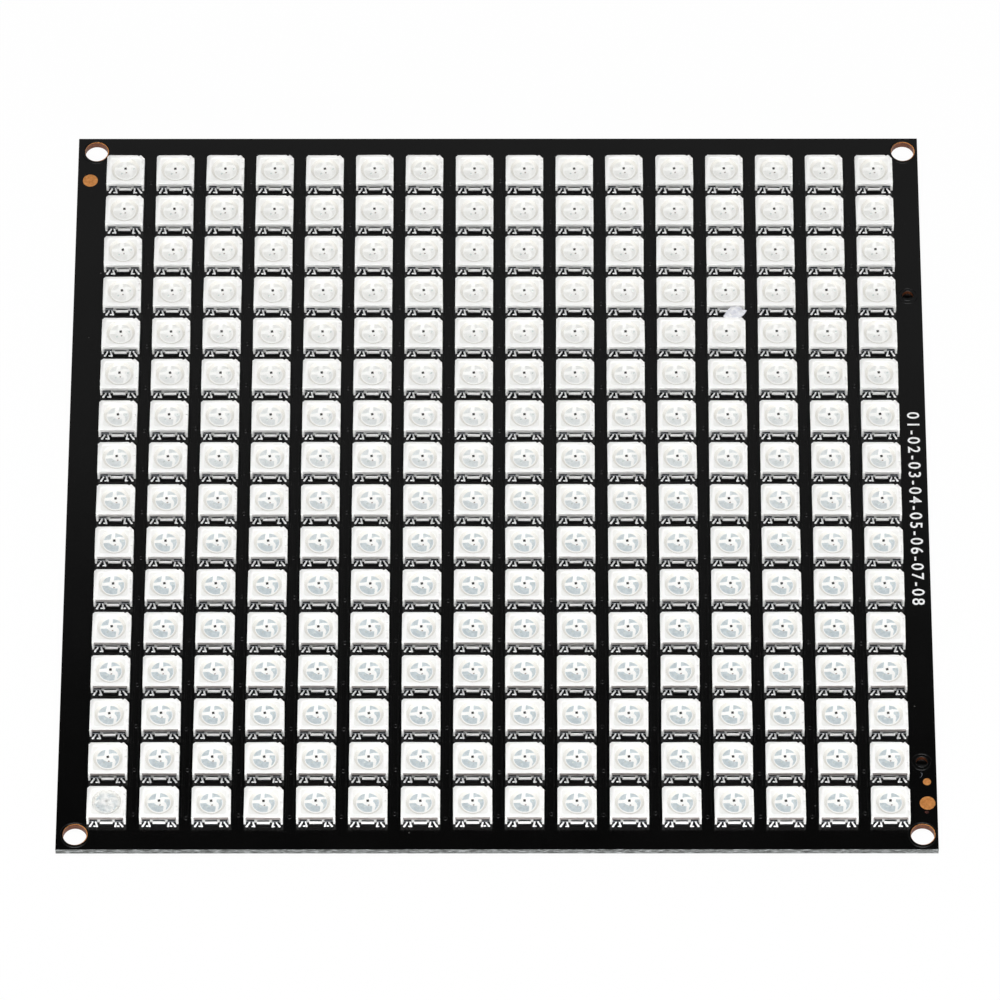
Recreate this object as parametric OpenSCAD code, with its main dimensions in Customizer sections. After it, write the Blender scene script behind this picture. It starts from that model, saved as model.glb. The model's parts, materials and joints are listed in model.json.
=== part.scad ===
// Rigid square panel of 256 surface-mount colour lamps on a black printed circuit board.
// It lies face up on the capacitors of its back, with its origin under its middle.

/* [Board] */
// Width of the board along X
board_w = 115; // [114:1:150]
// Depth of the board along Y
board_d = 115; // [114:1:150]
// Thickness of the board with its two solder masks
board_t = 1.0; // [0.8:0.1:2]
// Thickness of each solder mask and of the copper in its openings
mask_t = 0.03; // [0.02:0.01:0.06]
// How far the copper and the drilling sit to the right of the board's outline
layout_shift = 0.22; // [0:0.02:0.3]

/* [Mounting holes] */
// Finished diameter of the mounting hole at each corner
mount_hole_d = 3.1; // [2.5:0.1:3.2]
// Distance of each mounting hole's centre from the two edges beside it
mount_inset = 2.25; // [2.1:0.05:2.5]
// Width of the bare copper ring round a mounting hole
mount_ring_w = 0.17; // [0.16:0.01:0.22]
// How far the drilling missed the middle of the copper rings along X
drill_drift_x = 0.08; // [0:0.01:0.08]
// How far the drilling missed the middle of the copper rings along Y
drill_drift_y = 0.05; // [0:0.01:0.05]
// Thickness of the copper on the wall of a plated hole
plating_t = 0.05; // [0.03:0.01:0.06]

/* [Tooling holes] */
// Finished diameter of the two tooling holes beside the right-hand column
tool_hole_d = 1.5; // [1:0.1:1.8]
// Width of the bare copper ring round a tooling hole
tool_ring_w = 0.2; // [0.1:0.05:0.25]
// Distance of the tooling holes from the right-hand edge
tool_inset = 1.9; // [1.6:0.1:2.2]
// Place of the upper tooling hole along Y
tool_upper_y = 31; // [20:0.5:40]
// Distance between the two tooling holes
tool_spacing = 75; // [60:0.5:80]
// Depth of the resin that closes the back of each tooling hole
plug_t = 0.4; // [0.2:0.1:0.6]

/* [Alignment marks] */
// Diameter of the two large round copper marks
mark_d = 2.05; // [1.5:0.05:2.2]
// Diameter of the small round copper mark
small_mark_d = 1.06; // [0.8:0.02:1.4]
// Distance of the marks' centres from the board's side edges
mark_inset = 1.5; // [1.3:0.05:1.8]
// Distance of the large marks from the front or back edge
mark_edge_y = 7.1; // [6:0.1:9]
// Distance between the small mark and the large one beside it
mark_gap_y = 3.3; // [2:0.1:6]

/* [Lamp grid] */
// Lamps along X
columns = 16; // [2:1:16]
// Lamps along Y
rows = 16; // [2:1:16]
// Distance between the centres of neighbouring lamps
pitch = 6.82; // [6.2:0.01:6.84]

/* [Lamp housing] */
// Width of the housing along X
lamp_w = 5.1; // [4.9:0.05:5.2]
// Depth of the housing's top face along Y
lamp_top_d = 4.76; // [4.6:0.02:4.9]
// Depth of the housing along Y where its mould parts
lamp_d = 5.0; // [4.9:0.02:5.1]
// Height of the housing
lamp_h = 1.6; // [1.4:0.05:1.8]
// Height of the parting line, under which the leads come out
parting_h = 0.9; // [0.8:0.05:1]
// Corner cut that marks the first contact
mark_cut = 0.5; // [0.3:0.05:0.7]
// Corner cut beside it
small_cut = 0.28; // [0.1:0.02:0.4]
// Width of each corner post
post_w = 0.28; // [0.2:0.02:0.36]
// How far the wall behind the leads stands back from the posts
recess_d = 0.3; // [0.2:0.02:0.4]
// Width of the foot bar between the leads
bar_w = 1.7; // [1.2:0.1:2]
// Height of the foot bar
bar_h = 0.36; // [0.2:0.02:0.5]
// How far the foot bar stands back from the posts
bar_back = 0.05; // [0.02:0.01:0.1]
// Width of the ledge along the housing's right-hand side
ledge_w = 0.27; // [0.15:0.01:0.3]
// How far the ledge lies under the top face
ledge_drop = 0.1; // [0.05:0.01:0.2]

/* [Reflector cup] */
// Width of the shallow pool round the cup along X
pool_w = 4.1; // [3.9:0.02:4.14]
// Length of the pool along Y
pool_l = 3.92; // [3.86:0.02:4.1]
// Radius of the pool's corners
pool_r = 0.45; // [0.2:0.05:0.6]
// Depth of the pool under the top face
pool_drop = 0.05; // [0.03:0.01:0.08]
// Diameter of the cup where it opens into the pool
cup_top_d = 3.84; // [3.4:0.02:3.84]
// Diameter of the cup's floor
cup_floor_d = 3.06; // [2.6:0.02:3.3]
// Depth of the cup's floor under the top face
cup_depth = 0.4; // [0.3:0.05:0.6]

/* [Leads] */
// Width of a lead
lead_w = 1.0; // [0.8:0.05:1.1]
// Thickness of a lead
lead_t = 0.15; // [0.1:0.01:0.2]
// Distance between the two leads on one side
lead_pitch = 3.3; // [3.2:0.02:3.34]
// How far a lead reaches from the middle of the lamp
lead_reach = 2.68; // [2.6:0.01:2.75]

/* [Capacitors] */
// Length of a capacitor with its end caps
cap_l = 1.6; // [1:0.1:2]
// Width of a capacitor
cap_w = 0.8; // [0.5:0.05:1.25]
// Height of a capacitor
cap_h = 0.8; // [0.5:0.05:1.25]

/* [Wire pads] */
// Width of a bare wire pad on the back
wire_pad_w = 1.8; // [1.2:0.1:2.2]
// Length of a bare wire pad on the back
wire_pad_l = 3.6; // [2.5:0.1:5]
// Distance between neighbouring wire pads
wire_pad_pitch = 2.6; // [2.4:0.1:3]

/* [Hidden] */
core_t = board_t - 2 * mask_t;
mask_back_z = cap_h;
core_z = mask_back_z + mask_t;
mask_front_z = core_z + core_t;
face_z = mask_front_z + mask_t;
through = 1;

mount_ring_r = mount_hole_d / 2 + mount_ring_w;
mount_drill_r = mount_hole_d / 2 + plating_t;
tool_ring_r = tool_hole_d / 2 + tool_ring_w;
tool_drill_r = tool_hole_d / 2 + plating_t;
mount_x = board_w / 2 - mount_inset;
mount_y = board_d / 2 - mount_inset;
mount_places = [for (sx = [-1, 1], sy = [-1, 1]) [sx * mount_x + layout_shift, sy * mount_y]];
drill_drift = [drill_drift_x, drill_drift_y];
tool_x = board_w / 2 - tool_inset;
tool_places = [[tool_x, tool_upper_y], [tool_x, tool_upper_y - tool_spacing]];

mark_x = board_w / 2 - mark_inset;
mark_y = board_d / 2 - mark_edge_y;
left_mark = [-mark_x + layout_shift, mark_y];
right_mark = [mark_x + layout_shift, -mark_y];
small_mark = right_mark + [0, mark_gap_y];

wall_y = lamp_d / 2 - recess_d;
cup_floor_h = lamp_h - cup_depth;
pool_floor_h = lamp_h - pool_drop;

wire_pad_groups = [[-3 * columns / 8, 3], [0, 2], [3 * columns / 8, 3]];
wire_pad_xs = [for (g = wire_pad_groups, i = [0:g[1] - 1])
    g[0] * pitch + layout_shift + (i - (g[1] - 1) / 2) * wire_pad_pitch];

black_mask = [0.07, 0.07, 0.075];
laminate = [0.78, 0.78, 0.7];
copper = [0.82, 0.5, 0.3];
white_resin = [0.95, 0.95, 0.93];
tin = [0.8, 0.81, 0.83];
clear_fill = [0.9, 0.92, 0.92];
ceramic = [0.66, 0.56, 0.44];

function two_digits(n) = str(n < 10 ? "0" : "", n);
function row_node(kind, r) = str(kind, "_row_", two_digits(r));
row_numbers = [for (r = [1:rows]) r];
kinds = ["housings", "leads", "fills"];

// Centre of a lamp, with row 1 at the back and column 1 on the left
function lamp_x(c) = (c - (columns + 1) / 2) * pitch + layout_shift;
function lamp_y(r) = ((rows + 1) / 2 - r) * pitch;

// Places its children at every lamp of one row
module along_row(r) {
    for (c = [1:columns])
        translate([lamp_x(c), lamp_y(r), face_z])
            children();
}

// The board's outline as a flat sheet, cut at its plated holes
module sheet(z, t, mount_r, tool_r, drift = [0, 0]) {
    difference() {
        translate([-board_w / 2, -board_d / 2, z])
            cube([board_w, board_d, t]);
        for (p = mount_places)
            translate([p[0] + drift[0], p[1] + drift[1], z - through])
                cylinder(r = mount_r, h = t + 2 * through, $fn = 64);
        for (p = tool_places)
            translate([p[0], p[1], z - through])
                cylinder(r = tool_r, h = t + 2 * through, $fn = 48);
    }
}

module core() {
    color(laminate)
        sheet(core_z, core_t, mount_drill_r, tool_drill_r);
}

module mark_discs(extra = 0) {
    for (m = [[left_mark, mark_d], [right_mark, mark_d], [small_mark, small_mark_d]])
        translate([m[0][0], m[0][1], mask_front_z - extra])
            cylinder(d = m[1], h = mask_t + 2 * extra, $fn = 48);
}

module mask_front() {
    color(black_mask)
        difference() {
            sheet(mask_front_z, mask_t, mount_ring_r, tool_ring_r, drill_drift);
            mark_discs(extra = through);
        }
}

module wire_pad_plates(extra = 0) {
    for (x = wire_pad_xs)
        translate([x - wire_pad_w / 2, -wire_pad_l / 2, mask_back_z - extra])
            cube([wire_pad_w, wire_pad_l, mask_t + 2 * extra]);
}

module mask_back() {
    color(black_mask)
        difference() {
            sheet(mask_back_z, mask_t, mount_ring_r, tool_ring_r, drill_drift);
            wire_pad_plates(extra = mask_t / 2);
        }
}

// One plated hole: the copper sleeve on its wall and a ring on each face, which the drill may miss
module plated_hole(hole_r, ring_r, drift = [0, 0]) {
    difference() {
        union() {
            translate([0, 0, mask_t])
                cylinder(r = hole_r + plating_t, h = core_t, $fn = 64);
            for (z = [0, board_t - mask_t])
                translate([drift[0], drift[1], z])
                    cylinder(r = ring_r, h = mask_t, $fn = 64);
        }
        translate([0, 0, -through])
            cylinder(r = hole_r, h = board_t + 2 * through, $fn = 64);
    }
}

module hole_platings() {
    color(copper) {
        for (p = mount_places)
            translate([p[0], p[1], mask_back_z])
                plated_hole(mount_hole_d / 2, mount_ring_r, drill_drift);
        for (p = tool_places)
            translate([p[0], p[1], mask_back_z])
                plated_hole(tool_hole_d / 2, tool_ring_r);
    }
}

module alignment_marks() {
    color(copper)
        mark_discs();
}

module hole_plugs() {
    color(black_mask)
        for (p = tool_places)
            translate([p[0], p[1], mask_back_z])
                cylinder(d = tool_hole_d, h = plug_t, $fn = 48);
}

module wire_pads() {
    color(copper)
        wire_pad_plates();
}

// Places its children at the middle of each square of four lamps
module at_capacitors() {
    for (c = [1:2:columns - 1], r = [1:2:rows - 1])
        translate([lamp_x(c) + pitch / 2, lamp_y(r) - pitch / 2, 0])
            children();
}

// Chip capacitors, each fired in one piece with its end plating
module capacitors() {
    color(ceramic)
        at_capacitors()
            translate([-cap_l / 2, -cap_w / 2, 0])
                cube([cap_l, cap_w, cap_h]);
}

// Section of the housing across its lead sides: drafted above the parting line, set back below
module housing_section() {
    polygon([
        [-lamp_top_d / 2, lamp_h],
        [-lamp_d / 2, parting_h],
        [-lamp_d / 2, 0],
        [lamp_d / 2, 0],
        [lamp_d / 2, parting_h],
        [lamp_top_d / 2, lamp_h]
    ]);
}

// Plan of the housing with the two corner cuts of its back side
module housing_plan() {
    x = lamp_w / 2;
    y = lamp_d / 2;
    polygon([
        [-x, -y],
        [x, -y],
        [x, y - mark_cut],
        [x - mark_cut, y],
        [-x + small_cut, y],
        [-x, y - small_cut]
    ]);
}

// What is cut away under the parting line of one lead side, round the foot bar
module lead_bay() {
    bay_w = lamp_w - 2 * post_w;
    difference() {
        translate([-bay_w / 2, wall_y, -through])
            cube([bay_w, recess_d + through, parting_h + through]);
        translate([-bar_w / 2, wall_y - through, -2 * through])
            cube([bar_w, recess_d + through - bar_back, bar_h + 2 * through]);
    }
}

module housing() {
    difference() {
        intersection() {
            linear_extrude(lamp_h)
                housing_plan();
            translate([-lamp_w / 2, 0, 0])
                rotate([90, 0, 90])
                    linear_extrude(lamp_w)
                        housing_section();
        }
        for (side = [0, 1])
            mirror([0, side, 0])
                lead_bay();
        translate([lamp_w / 2 - ledge_w, -lamp_d, lamp_h - ledge_drop])
            cube([ledge_w + through, 2 * lamp_d, through]);
        pool_room();
        cup_room();
    }
}

// One lead: a stub out of the wall and a leg down to the board
module lead() {
    translate([-lead_w / 2, 0, 0])
        rotate([90, 0, 90])
            linear_extrude(lead_w)
                polygon([
                    [wall_y, parting_h],
                    [lead_reach, parting_h],
                    [lead_reach, 0],
                    [lead_reach - lead_t, 0],
                    [lead_reach - lead_t, parting_h - lead_t],
                    [wall_y, parting_h - lead_t]
                ]);
}

module lamp_leads() {
    for (side = [0, 1], x = [-lead_pitch / 2, lead_pitch / 2])
        mirror([0, side, 0])
            translate([x, 0, 0])
                lead();
}

// The shallow pool with rounded corners in the top face
module pool_room() {
    h = pool_drop + through;
    translate([0, 0, pool_floor_h]) {
        translate([-pool_w / 2, -pool_l / 2 + pool_r, 0])
            cube([pool_w, pool_l - 2 * pool_r, h]);
        translate([-pool_w / 2 + pool_r, -pool_l / 2, 0])
            cube([pool_w - 2 * pool_r, pool_l, h]);
        for (sx = [-1, 1], sy = [-1, 1])
            translate([sx * (pool_w / 2 - pool_r), sy * (pool_l / 2 - pool_r), 0])
                cylinder(r = pool_r, h = h, $fn = 48);
    }
}

// The room in the cup, which the clear fill takes up to the pool's floor
module cup_room() {
    translate([0, 0, cup_floor_h])
        cylinder(d1 = cup_floor_d, d2 = cup_top_d, h = pool_floor_h - cup_floor_h, $fn = 64);
}

module housings_row(r) {
    color(white_resin)
        along_row(r)
            housing();
}

module leads_row(r) {
    color(tin)
        along_row(r)
            lamp_leads();
}

module fills_row(r) {
    color(clear_fill)
        along_row(r)
            cup_room();
}

core();
mask_front();
mask_back();
hole_platings();
alignment_marks();
hole_plugs();
wire_pads();
capacitors();
for (r = row_numbers) {
    housings_row(r);
    leads_row(r);
    fills_row(r);
}
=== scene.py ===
"""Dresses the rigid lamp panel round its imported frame: pieces, finishes, studio and camera."""

import json
import math
import random
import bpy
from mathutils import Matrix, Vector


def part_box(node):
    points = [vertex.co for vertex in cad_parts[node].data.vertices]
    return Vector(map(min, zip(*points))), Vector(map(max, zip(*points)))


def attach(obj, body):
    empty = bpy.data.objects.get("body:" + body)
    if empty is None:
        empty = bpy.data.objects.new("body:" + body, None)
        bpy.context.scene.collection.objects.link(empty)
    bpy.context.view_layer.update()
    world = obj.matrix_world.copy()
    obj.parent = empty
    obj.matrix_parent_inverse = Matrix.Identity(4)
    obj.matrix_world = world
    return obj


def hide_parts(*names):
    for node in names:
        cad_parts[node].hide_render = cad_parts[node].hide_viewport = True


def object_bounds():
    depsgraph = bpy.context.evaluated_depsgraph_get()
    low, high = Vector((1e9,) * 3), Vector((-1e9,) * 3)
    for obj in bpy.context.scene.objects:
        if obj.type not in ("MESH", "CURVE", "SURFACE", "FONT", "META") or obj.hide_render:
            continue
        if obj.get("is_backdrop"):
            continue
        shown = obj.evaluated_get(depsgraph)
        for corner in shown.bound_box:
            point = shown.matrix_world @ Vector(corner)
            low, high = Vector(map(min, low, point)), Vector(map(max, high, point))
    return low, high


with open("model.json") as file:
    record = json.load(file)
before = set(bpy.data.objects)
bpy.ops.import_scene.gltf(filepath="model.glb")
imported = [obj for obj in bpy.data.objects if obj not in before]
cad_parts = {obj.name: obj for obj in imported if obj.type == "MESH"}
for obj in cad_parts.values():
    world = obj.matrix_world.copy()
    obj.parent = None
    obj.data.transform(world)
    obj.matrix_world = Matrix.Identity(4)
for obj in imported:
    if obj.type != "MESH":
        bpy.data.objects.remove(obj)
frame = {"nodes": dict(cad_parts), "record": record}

from types import SimpleNamespace

import bmesh
import bpy
from bpy.props import FloatProperty, FloatVectorProperty, IntProperty, PointerProperty
from mathutils import Matrix, Vector

bl_info = {
    "name": "Lamp panel",
    "version": (1, 0, 0),
    "blender": (4, 5, 0),
    "location": "View3D > Sidebar > Lamp Panel",
    "description": "Builds the pieces and finishes of a rigid panel of surface-mount lamps",
    "category": "Object",
}

MM = 0.001
ROWS = sorted(name[-2:] for name in frame["nodes"] if name.startswith("housings_row_"))
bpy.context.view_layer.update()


# ---------------------------------------------------------------- colours and nodes

def linear(code):
    """An sRGB hex colour such as "#C08040" as linear red, green, blue and alpha."""
    channels = [int(code[i:i + 2], 16) / 255 for i in (1, 3, 5)]
    return tuple(c / 12.92 if c <= 0.04045 else ((c + 0.055) / 1.055) ** 2.4 for c in channels) + (1.0,)


def chosen(key):
    """A colour that the user set in the sidebar."""
    return tuple(getattr(bpy.context.scene.panel_colours, key))


def add_node(tree, kind, settings=None, inputs=None, output=None):
    """Adds one node with its settings and links.

    An input is a number, a colour or another node's output socket. Settings may hold a colour
    ramp's stops. Output is a pair: the name of the node's own output and the socket it feeds.
    """
    node = tree.nodes.new(kind)
    for key, value in (settings or {}).items():
        if key == "stops":
            elements = node.color_ramp.elements
            while len(elements) < len(value):
                elements.new(0.5)
            for element, (position, colour) in zip(elements, value):
                element.position = position
                element.color = colour
        else:
            setattr(node, key, value)
    for key, value in (inputs or {}).items():
        if isinstance(value, bpy.types.NodeSocket):
            tree.links.new(value, node.inputs[key])
        else:
            node.inputs[key].default_value = value
    if output:
        tree.links.new(node.outputs[output[0]], output[1])
    return node


def new_material(name, surface):
    """A material with one Principled surface; returns it with its tree and that node."""
    material = bpy.data.materials.new(name)
    material.use_nodes = True
    shader = material.node_tree.nodes["Principled BSDF"]
    for key, value in surface.items():
        shader.inputs[key.replace("_", " ")].default_value = value
    return material, material.node_tree, shader


def mottling(tree, spacing_mm, detail=2.0, stretch=(1, 1, 1), roughness=0.5):
    """A pattern of lumps about spacing_mm apart along an axis with a stretch of 1."""
    place = add_node(tree, "ShaderNodeTexCoord")
    scaled = add_node(tree, "ShaderNodeMapping", inputs={
        "Vector": place.outputs["Object"],
        "Scale": tuple(1 / (spacing_mm * MM * s) for s in stretch),
    })
    texture = add_node(tree, "ShaderNodeTexNoise", inputs={
        "Vector": scaled.outputs["Vector"], "Scale": 1.0, "Detail": detail, "Roughness": roughness,
    })
    return texture.outputs["Fac"]


def mottled(name, tones, spacing_mm, detail=2.0, stretch=(1, 1, 1), relief_mm=0, cover=None, **surface):
    """A material of two tones in lumps, with their relief and cover (low and high alpha) if given."""
    material, tree, shader = new_material(name, surface)
    pattern = mottling(tree, spacing_mm, detail, stretch)
    stops = tuple(zip((0.3, 0.7), tones))
    base = ("Color", shader.inputs["Base Color"])
    add_node(tree, "ShaderNodeValToRGB", {"stops": stops}, {"Fac": pattern}, base)
    if cover:
        limits = {"Value": pattern, "To Min": cover[0], "To Max": cover[1]}
        add_node(tree, "ShaderNodeMapRange", inputs=limits, output=("Result", shader.inputs["Alpha"]))
    if relief_mm:
        relief = {"Height": pattern, "Distance": relief_mm * MM, "Strength": 1.0}
        add_node(tree, "ShaderNodeBump", inputs=relief, output=("Normal", shader.inputs["Normal"]))
    return material


def front_to_back(name, front, back, limits_mm, spacing_mm, detail=2.0, **surface):
    """A mottled material whose pair of tones changes from the front rows to the back rows."""
    material, tree, shader = new_material(name, surface)
    pattern = mottling(tree, spacing_mm, detail)
    pair = []
    for tones in (front, back):
        stops = tuple(zip((0.3, 0.7), tones))
        pair.append(add_node(tree, "ShaderNodeValToRGB", {"stops": stops}, {"Fac": pattern}))
    place = add_node(tree, "ShaderNodeTexCoord")
    parts = add_node(tree, "ShaderNodeSeparateXYZ", inputs={"Vector": place.outputs["Object"]})
    share = add_node(tree, "ShaderNodeMapRange", {"interpolation_type": "SMOOTHSTEP"}, {
        "Value": parts.outputs["Y"], "From Min": limits_mm[0] * MM, "From Max": limits_mm[1] * MM,
    })
    # Input 0 of a colour mix is its factor, 6 and 7 its colours, and output 2 its result.
    add_node(tree, "ShaderNodeMix", {"data_type": "RGBA"}, {
        0: share.outputs["Result"], 6: pair[0].outputs["Color"], 7: pair[1].outputs["Color"],
    }, (2, shader.inputs["Base Color"]))
    return material


# ---------------------------------------------------------------- finishes

def solder_mask():
    """Black liquid solder mask, cured: near-black and glossy, with orange peel and a few dust specks."""
    surface = {"Roughness": 0.17, "IOR": 1.5, "Specular_IOR_Level": 0.24}
    material, tree, shader = new_material("black_solder_mask", surface)
    cloud = mottling(tree, 9.0, detail=3)
    stops = ((0.3, chosen("mask_dark")), (0.7, chosen("mask_pale")))
    black = add_node(tree, "ShaderNodeValToRGB", {"stops": stops}, {"Fac": cloud})
    speck_gap_mm = 5.0
    place = add_node(tree, "ShaderNodeTexCoord")
    specks = add_node(tree, "ShaderNodeTexVoronoi", {"feature": "F1"}, {
        "Vector": place.outputs["Object"], "Scale": 1 / (speck_gap_mm * MM),
    })
    stops = ((0.012, linear("#808080")), (0.03, linear("#000000")))
    seen = add_node(tree, "ShaderNodeValToRGB", {"stops": stops}, {"Fac": specks.outputs["Distance"]})
    add_node(tree, "ShaderNodeMix", {"data_type": "RGBA"}, {
        0: seen.outputs["Color"], 6: black.outputs["Color"], 7: linear("#8C8C88"),
    }, (2, shader.inputs["Base Color"]))
    relief = {"Height": mottling(tree, 0.7), "Distance": 0.0025 * MM, "Strength": 1.0}
    add_node(tree, "ShaderNodeBump", inputs=relief, output=("Normal", shader.inputs["Normal"]))
    return material


def laminate():
    """Glass-fibre epoxy laminate, routed: a pale, rough edge with lighter and darker fibre ends."""
    material, tree, shader = new_material("cut_glass_epoxy", {"Roughness": 0.7, "IOR": 1.55})
    fibres = mottling(tree, 0.8, detail=4, stretch=(1.6, 1.6, 0.12), roughness=0.7)
    stops = ((0.38, linear("#1A1B1A")), (0.51, linear("#505351")), (0.63, linear("#BCC0C1")))
    base = ("Color", shader.inputs["Base Color"])
    add_node(tree, "ShaderNodeValToRGB", {"stops": stops}, {"Fac": fibres}, base)
    relief = {"Height": fibres, "Distance": 0.05 * MM, "Strength": 1.0}
    add_node(tree, "ShaderNodeBump", inputs=relief, output=("Normal", shader.inputs["Normal"]))
    return material


def bare_copper():
    """Bare copper under a thin organic coat: warm orange, half dull, slightly mottled."""
    tones = chosen("copper_dark"), chosen("copper_pale")
    return mottled("coated_bare_copper", tones, 0.35, 3, relief_mm=0.01, Metallic=0.6, Roughness=0.35)


def sleeve_copper():
    """Plated copper on a drilled wall: darker and redder than the flat copper, with drill lines."""
    tones = linear("#482210"), linear("#8A5030")
    flat = (6, 6, 1)
    return mottled("plated_hole_copper", tones, 0.12, 2, flat, relief_mm=0.01, Metallic=0.5, Roughness=0.5)


def white_resin():
    """White glass-filled polyphthalamide, moulded: bright white with a fine satin skin."""
    tones = chosen("resin_dark"), chosen("resin_pale")
    material = mottled("moulded_white_resin", tones, 1.4, Roughness=0.45, IOR=1.55)
    tree = material.node_tree
    relief = {"Height": mottling(tree, 0.06), "Distance": 0.003 * MM, "Strength": 1.0}
    normal = tree.nodes["Principled BSDF"].inputs["Normal"]
    add_node(tree, "ShaderNodeBump", inputs=relief, output=("Normal", normal))
    return material


def wall_resin_painted_shade():
    """The resin of the end walls, matt, in painted shade: grey in the front rows and nearly white in the back
    rows.
    """
    front, back = (linear("#8E8683"), linear("#ACA5A2")), (linear("#F6F5F3"), linear("#FDFDFB"))
    return front_to_back("matt_resin_wall", front, back, (-48, 25), 0.8, 3, Roughness=0.55, IOR=1.55)


def pool_resin():
    """The same resin under a film of silicone: a shade greyer and glossier."""
    tones = linear("#EFEFEC"), linear("#F3F3F0")
    return mottled("resin_under_silicone_film", tones, 0.9, Roughness=0.2, IOR=1.41)


def floor_resin_painted_light():
    """The resin of the cup's floor, painted whiter than the rest of the lamp as painted light against the
    shade of the cup.
    """
    tones = linear("#FAFAF8"), linear("#FFFFFD")
    return mottled("polished_resin_floor", tones, 0.9, Roughness=0.3, IOR=1.41)


def cup_resin_painted_shade():
    """The resin of the cup's wall, a little yellow under the silicone that stands on it and greyer as painted
    shade of the wall.
    """
    tones = linear("#E3E1DA"), linear("#E9E7E2")
    return mottled("resin_in_the_cup", tones, 1.2, Roughness=0.4, IOR=1.41)


def bright_tin():
    """Bright tin on copper strip, its colour painted nearly black as painted shade, so that the metal shows
    only soft highlights.
    """
    tones = linear("#2C2D2F"), linear("#434547")
    return mottled("bright_tin", tones, 0.15, relief_mm=0.008, Metallic=1.0, Roughness=0.15)


def solder():
    """Reflowed lead-free solder, slightly wrinkled: painted nearly white and not metallic, as painted
    highlights.
    """
    tones = linear("#F6F6F6"), linear("#FFFFFF")
    return mottled("reflowed_solder", tones, 0.1, 3, relief_mm=0.012, Roughness=0.25)


def silver_plate():
    """Silver plating on the lead frame, with a painted reflection: cool grey in the front rows and nearly
    white in the back rows, where it mirrors the bright light.
    """
    front = chosen("silver_dark"), chosen("silver_pale")
    back = linear("#F5F5F2"), linear("#FBFBF9")
    return front_to_back("satin_silver_plate", front, back, (-22, 30), 0.4, Metallic=0.3, Roughness=0.35)


def silicon_die():
    """Sawn silicon: nearly black, warm and satin."""
    tones = linear("#0A0605"), linear("#1A120F")
    return mottled("sawn_silicon", tones, 0.1, 1, Roughness=0.5, IOR=1.5)


def red_light_die():
    """The chip of the red light, sawn gallium arsenide: warm mid-grey and dull."""
    return mottled("sawn_gallium_arsenide", (linear("#8C857F"), linear("#A8A19B")), 0.1, 1, Roughness=0.5)


def sapphire_die():
    """Sapphire chip of a blue or green light: pale and glossy."""
    tones = linear("#D2DAD9"), linear("#E0E6E5")
    return mottled("sapphire_chip", tones, 0.15, 1, Roughness=0.15, IOR=1.77)


def clear_silicone():
    """Clear cast silicone: see-through with a soft milky body and a glossy face."""
    tones = linear("#EDEEEB"), linear("#F3F4F1")
    return mottled("clear_cast_silicone", tones, 2.5, cover=(0.03, 0.09), Roughness=0.12, IOR=1.41)


def clouded_silicone():
    """Silicone stirred before it set: whitish clouds over parts of the lead frame."""
    tones = linear("#E9EBEA"), linear("#FAFAF8")
    return mottled("clouded_silicone", tones, 1.1, 3, cover=(-0.35, 1.15), Roughness=0.3, IOR=1.41)


def flux_stain():
    """A dried drop of flux: thin, brown-red and half see-through."""
    return mottled("dried_flux", (linear("#2A1512"), linear("#5E2E26")), 0.2, cover=(0.3, 0.8), Roughness=0.4)


def ceramic():
    """Fired barium titanate: a matt, warm brown-grey block."""
    tones = chosen("ceramic_dark"), chosen("ceramic_pale")
    return mottled("fired_ceramic", tones, 0.2, 3, Roughness=0.55, IOR=1.7)


def marking_ink():
    """Screened white epoxy ink: flat white, a little thin over the black."""
    material, tree, shader = new_material("screened_white_ink", {"Roughness": 0.6, "IOR": 1.5})
    stops = ((0.25, linear("#C9CACB")), (0.6, linear("#F2F3F3")))
    cover = {"Fac": mottling(tree, 0.25, detail=3)}
    add_node(tree, "ShaderNodeValToRGB", {"stops": stops}, cover, ("Color", shader.inputs["Base Color"]))
    return material


def silicone_scrap():
    """A torn scrap of clear silicone: milky white, with painted bluish shade in the hollows of its folds and
    painted highlights on their ridges.
    """
    tones = linear("#E4E6F2"), linear("#FFFFFF")
    cover = (0.6, 1.0)
    return mottled("torn_silicone_scrap", tones, 0.5, 3, relief_mm=0.25, cover=cover, Roughness=0.3, IOR=1.41)


def stuck_lint():
    """A pale textile fibre, half sunk in the mask's gloss."""
    return mottled("stuck_lint", (linear("#3C3F46"), linear("#6C7078")), 0.3, Roughness=0.8)


FINISHES = {}


def finish(make):
    """The material that a maker function gives, made once for each choice of colours."""
    key = (make, *(chosen(name) for name in PanelColours.__annotations__))
    if key not in FINISHES:
        FINISHES[key] = make()
    return FINISHES[key]


# ---------------------------------------------------------------- mesh helpers, in millimetres

def box_shape(low, high):
    """A box as vertices and outward faces."""
    (x0, y0, z0), (x1, y1, z1) = low, high
    points = [(x, y, z) for z in (z0, z1) for x, y in ((x0, y0), (x1, y0), (x1, y1), (x0, y1))]
    faces = [(3, 2, 1, 0), (4, 5, 6, 7), (0, 1, 5, 4), (1, 2, 6, 5), (2, 3, 7, 6), (3, 0, 4, 7)]
    return points, faces


def band(a, b, count):
    """The faces between two rings of equally many points, which start at a and b."""
    return [(a + i, a + (i + 1) % count, b + (i + 1) % count, b + i) for i in range(count)]


def prism_shape(rings):
    """A closed solid through rings of equally many points, listed from the bottom up."""
    count = len(rings[0])
    points = [p for ring in rings for p in ring]
    faces = [tuple(reversed(range(count)))]
    for level in range(len(rings) - 1):
        faces += band(level * count, (level + 1) * count, count)
    faces.append(tuple(range((len(rings) - 1) * count, len(rings) * count)))
    return points, faces


def circle(radius, z, count, centre=(0, 0)):
    """Points round a circle at one height."""
    turns = [2 * math.pi * i / count for i in range(count)]
    return [(centre[0] + radius * math.cos(t), centre[1] + radius * math.sin(t), z) for t in turns]


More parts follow.
